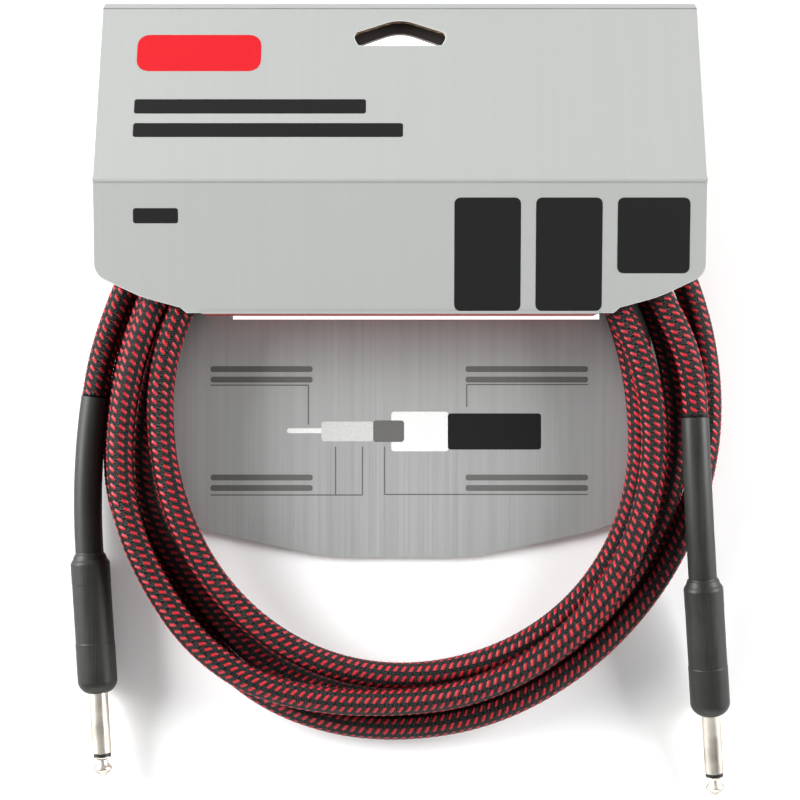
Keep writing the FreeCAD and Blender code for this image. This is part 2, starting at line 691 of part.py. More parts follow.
HALF_CARD = "card_wide / 2"
HALF_TONGUE = "tongue_wide / 2"
HALF_EDGE = f"({HALF_CARD} - lower_edge_in)"
HALF_FLAP = f"({HALF_EDGE} - flap_in)"
HALF_TAB = f"({HALF_FLAP} - tab_in)"


def cut_hang_hole(body, low_edge):
    """An arched hole above the given height."""
    sketch = pocket(body, body.Label + "_hang_hole", "XY_Plane", (
        ("-hole_half_low", low_edge), ("hole_half_low", low_edge),
        ("hole_half", low_edge + " + hole_side"), ("0", low_edge + " + hole_height"),
        ("-hole_half", low_edge + " + hole_side"),
    ))
    round_corners(body, body.Label + "_hole_ends", sketch, (0, 1, 2, 4), "hole_end")
    round_corners(body, body.Label + "_hole_peak", sketch, (3,), "hole_peak")


def mitre(body, name, end, half_angle, beyond):
    """Cuts an end of a panel back from its outer face, so that the crease can close."""
    outside = f"{end} + {beyond}"
    back = f"{end} - {beyond} * (card_thick + 1) * tan({half_angle})"
    pocket(body, name, "YZ_Plane", (
        (end, "card_thick"), (outside, "card_thick"), (outside, "-1"), (back, "-1"),
    ))


def back_panel():
    """Wide behind the front panel, then a narrower tongue with the slot for the tab."""
    body, sketch = padded("card_back", both_sides((
        (HALF_TONGUE + " - tongue_foot_in", "tongue_low - tongue_foot_drop"),
        (HALF_TONGUE + " - tongue_hip_in", "tongue_low - tongue_hip_drop"),
        (HALF_TONGUE, "tongue_low"), (HALF_TONGUE, "tongue_top"),
        (HALF_CARD, "wing_low"), (HALF_CARD, "fold_y - fold_play"),
    )), "card_thick")
    round_corners(body, "card_back_bends", sketch, (0, 1, 10, 11), "tongue_round")
    round_corners(body, "card_back_hips", sketch, (2, 9), "tongue_corner")
    round_corners(body, "card_back_corners", sketch, (5, 6), "card_corner")
    slot_low = "card_tuck_flap.Placement.Base.y / 1 mm - card_thick - slot_play_low"
    slot_high = "card_tuck_flap.Placement.Base.y / 1 mm + slot_play_top"
    slot_left = f"slot_shift - {HALF_TAB} - slot_play_side"
    slot_right = f"slot_shift + {HALF_TAB} + slot_play_side"
    pocket(body, "card_back_slot", "XY_Plane", (
        (slot_left, slot_low), (slot_right, slot_low), (slot_right, slot_high), (slot_left, slot_high),
    ))
    cut_hang_hole(body, "fold_y - hole_back")


def front_panels():
    """The front of the card: an upper and a lower panel, and a flap tucked in behind."""
    crease_half, foot_half = "(upper_slope + lower_slope) / 2", "(90 - lower_slope) / 2"
    upper, sketch = padded("card_front_upper", both_sides((
        (HALF_CARD, "-upper_length + crease_play"), (HALF_CARD, "-fold_play"),
    )), "card_thick")
    round_corners(upper, "card_front_upper_corners", sketch, (1, 2), "card_corner")
    cut_hang_hole(upper, "-hole_front")
    mitre(upper, "card_front_upper_crease", "-upper_length + crease_play", crease_half, "-1")

    lower, sketch = padded("card_front_lower", both_sides((
        (HALF_EDGE, "-lower_length + crease_play"),
        (HALF_CARD + " - lower_foot_in", "-lower_length + lower_foot_rise"),
        (HALF_CARD + " - lower_hip_in", "-lower_length + lower_hip_rise"),
        (HALF_CARD, "-lower_length + lower_side"), (HALF_CARD, "-crease_play"),
    )), "card_thick")
    round_corners(lower, "card_front_lower_corners", sketch, (3, 6), "lower_corner")
    round_corners(lower, "card_front_lower_hollows", sketch, (2, 7), "lower_hollow")
    mitre(lower, "card_front_lower_crease", "-crease_play", crease_half, "1")
    mitre(lower, "card_front_lower_foot", "-lower_length + crease_play", foot_half, "-1")

    tab_left, tab_right = f"tab_shift - {HALF_TAB}", f"tab_shift + {HALF_TAB}"
    flap, sketch = padded("card_tuck_flap", (
        ("-" + HALF_FLAP, "-crease_play"), ("-" + HALF_FLAP, "-flap_length"), (tab_left, "-flap_length"),
        (tab_left, "-tab_length"), (tab_right, "-tab_length"), (tab_right, "-flap_length"),
        (HALF_FLAP, "-flap_length"), (HALF_FLAP, "-crease_play"),
    ), "card_thick")
    round_corners(flap, "card_tuck_flap_corners", sketch, (3, 4), "tab_corner")
    mitre(flap, "card_tuck_flap_crease", "-crease_play", foot_half, "1")

    sideways, outward = Vector(1, 0, 0), Vector(0, 0, size("card_thick"))
    fold = Vector(0, size("fold_y"), size("card_thick") + size("fold_lift"))
    tilt = FreeCAD.Rotation(sideways, -size("upper_slope"))
    upper.Placement = FreeCAD.Placement(fold + tilt.multVec(Vector(0, 0, size("fold_gap"))), tilt)
    crease = upper.Placement.multVec(Vector(0, -size("upper_length"), size("card_thick")))
    tilt = FreeCAD.Rotation(sideways, size("lower_slope"))
    lower.Placement = FreeCAD.Placement(crease - tilt.multVec(outward), tilt)
    foot = lower.Placement.multVec(Vector(0, -size("lower_length"), size("card_thick")))
    tilt = FreeCAD.Rotation(sideways, 90)
    flap.Placement = FreeCAD.Placement(foot - tilt.multVec(outward), tilt)
    for name, place in (("fold", fold), ("crease", crease), ("foot", foot)):
        print(name, "line", [round(value, 3) for value in place])
    print("flap above the back panel", round(foot.z - size("flap_length") - size("card_thick"), 2))
    print("tab above the resting plane", round(foot.z - size("tab_length"), 2))


# Check and export

def faults():
    doc.recompute()
    found = [f"{item.Label}: {item.State}" for item in doc.Objects
             if "Invalid" in item.State or "Error" in item.State]
    for item in SUBPARTS:
        shape = item.Shape
        if shape.isNull() or not shape.isValid() or not shape.Solids:
            found.append(f"{item.Label}: no valid solid")
    return found


def export():
    os.makedirs("parts", exist_ok=True)
    for item in SUBPARTS:
        item.Shape.exportStep(f"parts/{item.Label}.step")
    print(len(SUBPARTS), "nodes written")


for side in SIDES:
    plug(side)
total = lead("left", LEFT_ROUTE) + lead("right", RIGHT_ROUTE) + coil()
print("free cable length", round(total, 1))
front_panels()
back_panel()
problems = faults()
if problems:
    raise SystemExit("\n".join(problems))
export()
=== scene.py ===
import json
import math

import bmesh
import bpy
import numpy as np
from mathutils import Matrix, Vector


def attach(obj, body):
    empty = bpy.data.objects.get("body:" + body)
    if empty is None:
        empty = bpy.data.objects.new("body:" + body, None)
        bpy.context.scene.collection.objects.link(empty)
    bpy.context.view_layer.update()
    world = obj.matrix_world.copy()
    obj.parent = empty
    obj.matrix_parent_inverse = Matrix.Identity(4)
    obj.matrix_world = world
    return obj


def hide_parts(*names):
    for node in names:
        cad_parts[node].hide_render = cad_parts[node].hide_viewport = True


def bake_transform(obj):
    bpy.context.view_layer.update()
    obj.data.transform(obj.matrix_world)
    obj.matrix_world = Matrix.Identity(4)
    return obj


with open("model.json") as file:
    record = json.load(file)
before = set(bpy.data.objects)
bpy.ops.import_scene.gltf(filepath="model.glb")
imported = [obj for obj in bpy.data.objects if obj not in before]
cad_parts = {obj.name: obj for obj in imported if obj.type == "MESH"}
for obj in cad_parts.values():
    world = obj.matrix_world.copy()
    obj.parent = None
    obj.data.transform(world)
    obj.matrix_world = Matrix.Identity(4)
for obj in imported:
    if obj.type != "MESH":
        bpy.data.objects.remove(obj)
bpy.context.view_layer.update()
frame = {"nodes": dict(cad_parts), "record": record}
NODES = frame["nodes"]
MM = 0.001

# The camera that fits the photo, with its height in metres and its lens and sensor in mm
CAMERA_HEIGHT, LENS, SENSOR = 0.65, 85.03, 36

# Sizes of the cable and its coil, in metres. The lower layer lies on the back board, and at the bottom of
# the coil, past the tongue, on the floor.
CABLE = 0.0088
BOARD = 0.0015
OVER_BOARD, OVER_FLOOR = 0.0004, 0.00005
LOW_LAYER = BOARD + OVER_BOARD + CABLE / 2
LOW_LAYER_BOTTOM = OVER_FLOOR + CABLE / 2
LAYER_RISE = 0.00935

# Reach of each side of a turn from the middle of the coil: the first turn, how much further in each lower
# turn lies, and the upper layer with how much further out its second turn lies
FIRST_TURN = {"left": 0.1056, "top": 0.1097, "right": 0.1051, "bottom": 0.1116}
STEPS_IN = {
    "left": (0, 0.0089, 0.0180), "top": (0, 0.0106, 0.0212),
    "right": (0, 0.0105, 0.0230), "bottom": (0, 0.0091, 0.0182),
}
UPPER_TURN = {"left": 0.0804, "top": 0.0716, "right": 0.0854, "bottom": 0.1014}
STEP_OUT = {"left": 0.0136, "top": 0.0122, "right": 0.0, "bottom": 0.0}

# How far below the middle the widest points of a turn lie
SAG_LEFT, SAG_UPPER = 0.023, 0.004
SAG_RIGHT, SAG_RIGHT_STEP = 0.0034, 0.0053

# Turns are counted from the left side of the first one, in quarters. The cable climbs to the upper layer
# in the last half turn of the lower one.
QUARTERS = ("left", "top", "right", "bottom")
CLIMB_START, CLIMB_END, LAST_TURN = 2.5, 3.0, 4.25

# By the turn at which a quarter starts: how far its middle swells out, or pinches in where below zero, and
# how far its first half swells while its second half pinches in
BULGE = {
    0.5: -0.0018, 0.75: -0.0040, 1.25: -0.0026, 1.5: -0.0008, 1.75: -0.0037,
    2.5: 0.0010, 2.75: 0.0003, 3.0: 0.0025, 3.75: 0.0034, 4.0: 0.0022,
}
LEAN = {0.75: 0.0065, 1.75: 0.0050, 3.75: 0.0065}
POINTS_PER_QUARTER = 6
JOIN_POINTS = 8

# Routes of the two leads, from the mouth of each boot to the coil
LEFT_ROUTE = (
    (-0.1037, 0.0009, 0.0067),
    (-0.10246, 0.0098, 0.00663),
    (-0.1000, 0.0195, 0.0065),
    (-0.0969, 0.029, 0.00635),
    (-0.0931, 0.0383, 0.0063),
)
RIGHT_ROUTE = (
    (0.0989, -0.0062, 0.0164),
    (0.09863, 0.0042, 0.01556),
    (0.0967, 0.014, 0.01558),
    (0.09335, 0.0232, 0.01565),
    (0.0889, 0.0318, 0.01565),
)


# Camera and meshes

def link(obj):
    bpy.context.scene.collection.objects.link(obj)
    return obj


def look_down():
    """The photo's camera, straight above the card."""
    data = bpy.data.cameras.new("photo_camera")
    data.sensor_width = SENSOR
    data.lens = LENS
    data.clip_start, data.clip_end = 0.01, 10
    camera = link(bpy.data.objects.new("photo_camera", data))
    camera.location = (0, 0, CAMERA_HEIGHT)
    bpy.context.scene.camera = camera


def mesh_object(name, vertices, faces, materials=(), smooth=False):
    mesh = bpy.data.meshes.new(name)
    mesh.from_pydata([tuple(v) for v in vertices], [], [tuple(f) for f in faces])
    for material in materials:
        mesh.materials.append(material)
    mesh.polygons.foreach_set("use_smooth", [smooth] * len(mesh.polygons))
    mesh.update()
    return link(bpy.data.objects.new(name, mesh))


# Materials

# Sockets of the Mix node that take and give colours
MIX_FACTOR, MIX_FIRST, MIX_SECOND, MIX_OUT = 0, 6, 7, 2

# Y on the back board from which its inner liner is painted dark: painted shade under the top fold, where the
# front panel closes over it
PAINTED_SHADE_FROM = 0.106


def shaded(colour, share):
    return tuple(min(1.0, part * share) for part in colour)


class Nodes:
    """A material with short calls for the nodes it needs."""

    def __init__(self, name, roughness=0.5, metallic=0.0):
        self.material = bpy.data.materials.new(name)
        self.material.use_nodes = True
        self.tree = self.material.node_tree
        self.shader = self.tree.nodes["Principled BSDF"]
        self.shader.inputs["Roughness"].default_value = roughness
        self.shader.inputs["Metallic"].default_value = metallic

    def node(self, kind, **settings):
        made = self.tree.nodes.new("ShaderNode" + kind)
        for key, value in settings.items():
            setattr(made, key, value)
        return made

    def join(self, source, target):
        self.tree.links.new(source, target)

    def coordinates(self, stretch=(1, 1, 1)):
        """Object coordinates, in metres, stretched along some axes."""
        place = self.node("TexCoord")
        mapping = self.node("Mapping")
        mapping.inputs["Scale"].default_value = stretch
        self.join(place.outputs["Object"], mapping.inputs["Vector"])
        return mapping.outputs["Vector"]

    def noise(self, scale, detail=3, vector=None, rough=0.55):
        made = self.node("TexNoise")
        made.inputs["Scale"].default_value = scale
        made.inputs["Detail"].default_value = detail
        made.inputs["Roughness"].default_value = rough
        self.join(vector or self.coordinates(), made.inputs["Vector"])
        return made.outputs["Fac"]

    def ramp(self, factor, *stops):
        """Each stop is a place and a grey or a colour."""
        made = self.node("ValToRGB")
        points = made.color_ramp.elements
        while len(points) < len(stops):
            points.new(0.5)
        for point, (place, colour) in zip(points, stops):
            point.position = place
            grey = isinstance(colour, (int, float))
            point.color = (colour, colour, colour, 1) if grey else (*colour, 1)
        self.join(factor, made.inputs["Fac"])
        return made.outputs["Color"]

    def maths(self, operation, *values):
        made = self.node("Math", operation=operation)
        for socket, value in zip(made.inputs, values):
            if isinstance(value, (int, float)):
                socket.default_value = value
            else:
                self.join(value, socket)
        return made.outputs["Value"]

    def weighed(self, *parts):
        """Sum of values, each times its weight."""
        total = None
        for value, weight in parts:
            part = self.maths("MULTIPLY", value, weight)
            total = part if total is None else self.maths("ADD", total, part)
        return total

    def mix(self, factor, first, second):
        """The first colour, going over to the second, three numbers, as the factor goes to 1."""
        made = self.node("Mix", data_type="RGBA")
        self.join(factor, made.inputs[MIX_FACTOR])
        self.join(first, made.inputs[MIX_FIRST])
        made.inputs[MIX_SECOND].default_value = (*second, 1)
        return made.outputs[MIX_OUT]

    def colour(self, value):
        self.join(value, self.shader.inputs["Base Color"])

    def roughness(self, value):
        self.join(value, self.shader.inputs["Roughness"])

    def bump(self, height, distance):
        """height is from 0 to 1 and distance is its depth in metres."""
        made = self.node("Bump")
        made.inputs["Distance"].default_value = distance
        self.join(height, made.inputs["Height"])
        self.join(made.outputs["Normal"], self.shader.inputs["Normal"])


def yarn(name, dark, light, fleck, roughness, gloss):
    """Braided yarn. The weave UV counts rows round the cable and stripes along it.

    fleck says how much of the shade follows the crossing strands, and the rest is painted shade that follows
    the stripes, darker towards the edges of each stripe as on a rounded yarn.
    """
    made = Nodes(name, roughness)
    place = made.node("UVMap", uv_map="weave")
    split = made.node("SeparateXYZ")
    made.join(place.outputs["UV"], split.inputs["Vector"])
    across, along = split.outputs["X"], split.outputs["Y"]
    wobble = made.maths("MULTIPLY", made.noise(900, 2), 0.5)
    strands = made.maths("MULTIPLY", across, STRANDS_IN_ROW)
    one_way = made.maths("ADD", made.maths("ADD", strands, along), wobble)
    other_way = made.maths("SUBTRACT", strands, along)
    crossings = [made.maths("PINGPONG", way, 0.5) for way in (one_way, other_way)]
    lattice = made.maths("MULTIPLY", *crossings)
    # Painted shade: each stripe is lighter in its middle and darker towards its edges.
    painted_crown_shade = made.maths("MULTIPLY", made.maths("PINGPONG", along, 0.5), 2.0)
    weave = made.weighed((lattice, 4 * fleck), (painted_crown_shade, 1 - fleck))
    fuzz = made.noise(2600, 3)
    shade = made.maths("MULTIPLY", weave, made.maths("ADD", made.maths("MULTIPLY", fuzz, 0.8), 0.6))
    made.colour(made.ramp(shade, (0.3, dark), (0.8, light)))
    made.bump(weave, 0.00022)
    made.shader.inputs["Specular IOR Level"].default_value = gloss
    return made.material


def board_print(name, base, streaks, roughness=0.42):
    """Printed satin liner of the card, with the faint upright streaks of fluted board."""
    made = Nodes(name, roughness)
    grain = made.noise(900, 4)
    bands = made.noise(1, 3, made.coordinates((420, 6, 1)))
    clouds = made.noise(14, 2)
    low, high = shaded(base, 1 - streaks), shaded(base, 1 + streaks)
    paper = made.ramp(made.weighed((bands, 0.6), (clouds, 0.4)), (0.3, low), (0.7, high))
    made.colour(made.mix(made.maths("MULTIPLY", grain, 0.05), paper, low))
    made.roughness(made.ramp(grain, (0.3, roughness - 0.05), (0.7, roughness + 0.08)))
    made.bump(made.weighed((bands, 0.7), (grain, 0.3)), 0.00003)
    return made.material


def satin_board(name, base, dark):
    """Silvery liner: brushed upright streaks and a soft sheen, and painted shade by the top fold, where the
    front panel closes over it.
    """
    made = Nodes(name, 0.4, 0.45)
    grain = made.noise(1100, 4)
    streaks = made.noise(1, 4, made.coordinates((1500, 9, 1)), 0.7)
    flutes = made.noise(1, 1, made.coordinates((330, 3, 1)))
    tone = made.weighed((streaks, 0.6), (flutes, 0.4))
    silver = made.ramp(tone, (0.3, shaded(base, 0.84)), (0.7, shaded(base, 1.08)))
    split = made.node("SeparateXYZ")
    made.join(made.coordinates(), split.inputs["Vector"])
    # Painted shade: from this Y up to the top fold the liner takes the dark colour.
    shade_by_the_fold = made.maths("GREATER_THAN", split.outputs["Y"], PAINTED_SHADE_FROM)
    made.colour(made.mix(shade_by_the_fold, silver, dark))
    made.roughness(made.ramp(streaks, (0.3, 0.33), (0.7, 0.5)))
    made.bump(made.weighed((flutes, 0.7), (grain, 0.15), (streaks, 0.3)), 0.00005)
    return made.material


def kraft(name, base):
    """Bare brown paper with its fibres along X."""
    made = Nodes(name, 0.85)
    fibres = made.noise(1, 4, made.coordinates((300, 2500, 2500)))
    made.colour(made.ramp(fibres, (0.3, shaded(base, 0.6)), (0.7, base)))
    made.bump(fibres, 0.00004)
    return made.material


def ink(name, base):
    made = Nodes(name, 0.5)
    grain = made.noise(1400, 3)
    made.colour(made.ramp(grain, (0.3, shaded(base, 0.85)), (0.7, base)))
    made.shader.inputs["Specular IOR Level"].default_value = 0.2
    return made.material


def plated(name, base, roughness, edge=1.0):
    """Metal with fine turning marks and faint smears; edge is the tint of its reflection where it turns away,
    and below 1 it darkens the edges as painted shade.
    """
    made = Nodes(name, roughness, 1.0)
    smears = made.noise(90, 4)
    marks = made.noise(1, 3, made.coordinates((400, 6000, 400)))
    made.colour(made.ramp(smears, (0.3, shaded(base, 0.88)), (0.7, base)))
    made.roughness(made.ramp(smears, (0.3, roughness * 0.7), (0.75, roughness * 1.5)))
    made.bump(marks, 0.000004)
    made.shader.inputs["Specular Tint"].default_value = (edge, edge, edge, 1)
    return made.material


def plastic(name, base, roughness):
    """Moulded plastic with a fine grain and faint clouds."""
    made = Nodes(name, roughness)
    grain = made.noise(1500, 3)
    clouds = made.noise(45, 3)
    low = shaded(base, 0.75)
    faint = made.maths("MULTIPLY", grain, 0.4)
    made.colour(made.mix(faint, made.ramp(clouds, (0.3, low), (0.7, base)), low))
    made.roughness(made.ramp(grain, (0.3, roughness - 0.08), (0.7, roughness + 0.08)))
    made.bump(grain, 0.000012)
    return made.material


def shrunk_tube():
    """Matt heat-shrink tubing with long faint draw lines and a dusty bloom."""
    made = Nodes("shrunk_tube", 0.5)
    lines = made.noise(1, 3, made.coordinates((900, 25, 900)))
    bloom = made.noise(70, 4)
    grain = made.noise(2200, 2)
    tone = made.weighed((lines, 0.55), (bloom, 0.45))
    made.colour(made.ramp(tone, (0.35, (0.012, 0.012, 0.011)), (0.65, (0.022, 0.022, 0.020))))
    made.roughness(made.ramp(tone, (0.3, 0.42), (0.7, 0.56)))
    made.bump(made.weighed((lines, 0.6), (grain, 0.4)), 0.00004)
    made.shader.inputs["Specular IOR Level"].default_value = 0.3
    return made.material


# Strands across one row of the braid, and stripes of its UV along one pitch
STRANDS_IN_ROW, STRIPES = 3, 3

# The red yarn takes most of its tone from the painted shade across each stripe.
RED_YARN = yarn("red_yarn", (0.22, 0.004, 0.010), (0.50, 0.015, 0.024), 0.15, 0.5, 0.3)
BLACK_YARN = yarn("black_yarn", (0.0005, 0.0005, 0.0005), (0.042, 0.048, 0.044), 1.0, 0.46, 0.18)
CARD_GREY = board_print("card_grey", (0.305, 0.314, 0.304), 0.02)
# A paler copy of the card grey for the crushed rim of each outer face: partly the bare liner at the cut,
# partly a painted highlight along the edge.
CUT_EDGE_AND_HIGHLIGHT = board_print("cut_edge_and_highlight", (0.46, 0.475, 0.46), 0.02)
CARD_RED = board_print("card_red", (0.40, 0.028, 0.03), 0.04)
# The dark colour is painted shade for the top of the back board, under the fold.
CARD_SATIN = satin_board("card_satin", (0.42, 0.427, 0.423), (0.052, 0.044, 0.041))
CARD_PLAIN = board_print("card_plain", (0.30, 0.27, 0.23), 0.05, 0.7)
BOARD_EDGE = kraft("board_edge", (0.62, 0.42, 0.26))
CORE = kraft("card_core", (0.09, 0.055, 0.032))
DARK_INK = ink("dark_ink", (0.008, 0.008, 0.008))
GREY_INK = ink("grey_ink", (0.12, 0.12, 0.115))
RED_INK = ink("red_ink", (0.50, 0.008, 0.014))
WHITE_INK = ink("white_ink", (0.72, 0.73, 0.72))
PALE_INK = ink("pale_ink", (0.52, 0.53, 0.52))
SLOT_MATERIALS = {
    # The nickel's edge tint of 0 darkens its reflection where the pins turn away: painted shade along their
    # edges.
    "nickel": plated("nickel", (0.79, 0.735, 0.645), 0.35, edge=0.0),
    "steel": plated("steel", (0.56, 0.56, 0.55), 0.32),
    "tinned_brass": plated("tinned_brass", (0.70, 0.66, 0.58), 0.35),
    "black_insulator": plastic("black_insulator", (0.012, 0.012, 0.012), 0.4),
    "clear_insulator": plastic("clear_insulator", (0.62, 0.60, 0.54), 0.35),
    "conductive_plastic": plastic("conductive_plastic", (0.02, 0.02, 0.022), 0.5),
    "copper": plated("copper", (0.80, 0.40, 0.24), 0.3),
    "jacket": plastic("jacket", (0.03, 0.03, 0.03), 0.55),
    "woven_cover": BLACK_YARN,
    "shrunk_boot": shrunk_tube(),
    "card": CARD_GREY,
}


# The cord's route and its braid

def eased(value):
    """Smooth step from 0 to 1."""
    value = min(max(value, 0.0), 1.0)
    return value * value * (3 - 2 * value)


def station(turn):
    """Side, reach, sag and height of the cable where a quarter turn starts."""
    side = QUARTERS[int(round(4 * turn)) % 4]
    whole = int(turn + 1e-9)
    if turn < CLIMB_END:
        reach = FIRST_TURN[side] - STEPS_IN[side][whole]
        sag = SAG_LEFT if side == "left" else SAG_RIGHT + whole * SAG_RIGHT_STEP
    else:
        above = whole - int(CLIMB_END)
        reach = UPPER_TURN[side] + above * STEP_OUT[side]
        fall = (SAG_LEFT - SAG_UPPER) * above
        sag = SAG_UPPER + fall if side == "left" else SAG_RIGHT + 2 * SAG_RIGHT_STEP
    height = LOW_LAYER_BOTTOM if side == "bottom" else LOW_LAYER
    return side, reach, sag, height


def quarter_points(turn):
    """Control points of one quarter of a turn, on an ellipse that may swell or lean at its middle."""
    side, first_reach, sag, low = station(turn)
    _, last_reach, next_sag, next_low = station(turn + 0.25)
    outward = 1 / math.cos(math.pi / 4 / POINTS_PER_QUARTER)
    points = []
    for step in range(POINTS_PER_QUARTER):
        share = step / POINTS_PER_QUARTER
        angle = math.pi / 2 * share
        start, end = outward * math.cos(angle), outward * math.sin(angle)
        lean = LEAN.get(turn, 0) * math.cos(2 * angle)
        bulge = (BULGE.get(turn, 0) + lean) * math.sin(2 * angle) ** 2
        reach, next_reach = first_reach + bulge, last_reach + bulge
        if side == "left":
            x, y = -reach * start, -sag + (next_reach + sag) * end
        elif side == "top":
            x, y = next_reach * end, -next_sag + (reach + next_sag) * start
        elif side == "right":
            x, y = reach * start, -sag - (next_reach - sag) * end
        else:
            x, y = -next_reach * end, -next_sag - (reach - next_sag) * start
        climb = eased((turn + 0.25 * share - CLIMB_START) / (CLIMB_END - CLIMB_START))
        z = low + (next_low - low) * eased(share) + LAYER_RISE * climb
        points.append((x, y, z))
    return points


def joining_points(reach, end, before_end):
    """Control points from the top of a turn to a lead's end, on the ellipse that touches both."""
    across, down = abs(end[0]), reach - end[1]
    slope = abs((end[1] - before_end[1]) / (end[0] - before_end[0]))
    cosine = down / (slope * across - down)
    last = math.acos(cosine)
    half_wide = across / math.sin(last)
    half_high = down / (1 - cosine)
    outward = 1 / math.cos(last / JOIN_POINTS / 2)
    side = math.copysign(1, end[0])
    points = []
    for step in range(1, JOIN_POINTS):
        angle = last * step / JOIN_POINTS
        x = side * half_wide * outward * math.sin(angle)
        y = reach - half_high + half_high * outward * math.cos(angle)
        points.append((x, y, end[2]))
    return points


def cord_route():
    """Control points of the whole free cable, from the left boot to the right one."""
    top = FIRST_TURN["top"]
    points = list(LEFT_ROUTE)
    points += reversed(joining_points(top, LEFT_ROUTE[-1], LEFT_ROUTE[-2]))
    turn = 0.25
    while turn < LAST_TURN:
        points += quarter_points(turn)
        turn += 0.25
    last_top = station(LAST_TURN)[1]
    points.append((0, last_top, RIGHT_ROUTE[-1][2]))
    points += joining_points(last_top, RIGHT_ROUTE[-1], RIGHT_ROUTE[-2])
    points += reversed(RIGHT_ROUTE)
    return points


def spline_line(points):
    """Points read from the smooth curve through the route."""
    curve = bpy.data.curves.new("cord_line", "CURVE")
    curve.dimensions = "3D"
    curve.resolution_u = 24
    spline = curve.splines.new("NURBS")
    spline.points.add(len(points) - 1)
    for point, place in zip(spline.points, points):
        point.co = (*place, 1)
    spline.order_u = 3
    spline.use_endpoint_u = True
    holder = link(bpy.data.objects.new("cord_line", curve))
    mesh = bpy.data.meshes.new_from_object(holder)
    line = np.array([tuple(vertex.co) for vertex in mesh.vertices])
    bpy.data.objects.remove(holder)
    bpy.data.meshes.remove(mesh)
    return line


# The braid: rows of slanting dashes round the cable, and the share of a row that a dash takes
ROWS = 8
PITCH = 0.00277
DASH_SHARE = 0.56
DASH_SLOPE = math.radians(31)
ROW_WIDTH = math.pi * CABLE / ROWS
DASH_WIDTH = DASH_SHARE * ROW_WIDTH
DASH_RISE = DASH_WIDTH * math.tan(DASH_SLOPE)

# Rings of one pitch: place along it, lift in metres and stripe of the UV. A dash has the faces after the
# first two rings.
STRANDS = ((0.0, -0.00008, 0.0), (0.25, 0.00014, 0.5), (0.51, -0.00008, 1.0), (0.755, 0.00006, 2.0))
DASH_RINGS = 2

# Columns of one row: place across it and lift in metres. A dash has the faces after the first two columns.
COLUMNS = ((0.0, -0.00003), (DASH_SHARE / 2, 0.00005), (DASH_SHARE, -0.00003))
DASH_COLUMNS = 2

# How the rows wander round the cable, in radians: a wave with its count of waves, and a steady turn
TWIST, TWIST_WAVES, TWIST_DRIFT = 2.2, 1.5, 3.0

# Two points nearer than this, in metres, are one
SAME_PLACE = 1e-7


def frames_along(line):
    """Distance, direction and a steadily carried normal at each point of a line."""
    steps = np.diff(line, axis=0)
    lengths = np.linalg.norm(steps, axis=1)
    line = line[np.r_[True, lengths > SAME_PLACE]]
    distance = np.r_[0, np.cumsum(np.linalg.norm(np.diff(line, axis=0), axis=1))]
    ways = np.gradient(line, distance, axis=0)
    ways /= np.linalg.norm(ways, axis=1)[:, None]
    normals = np.zeros_like(ways)
    normal = np.array((0.0, 0.0, 1.0))
    for index, way in enumerate(ways):
        normal = normal - way * normal.dot(way)
        normal /= np.linalg.norm(normal)
        normals[index] = normal
    return line, distance, ways, normals


def at(distance, values, wanted):
    """Vectors along a line, read at other distances."""
    return np.stack([np.interp(wanted, distance, values[:, axis]) for axis in range(3)], axis=-1)


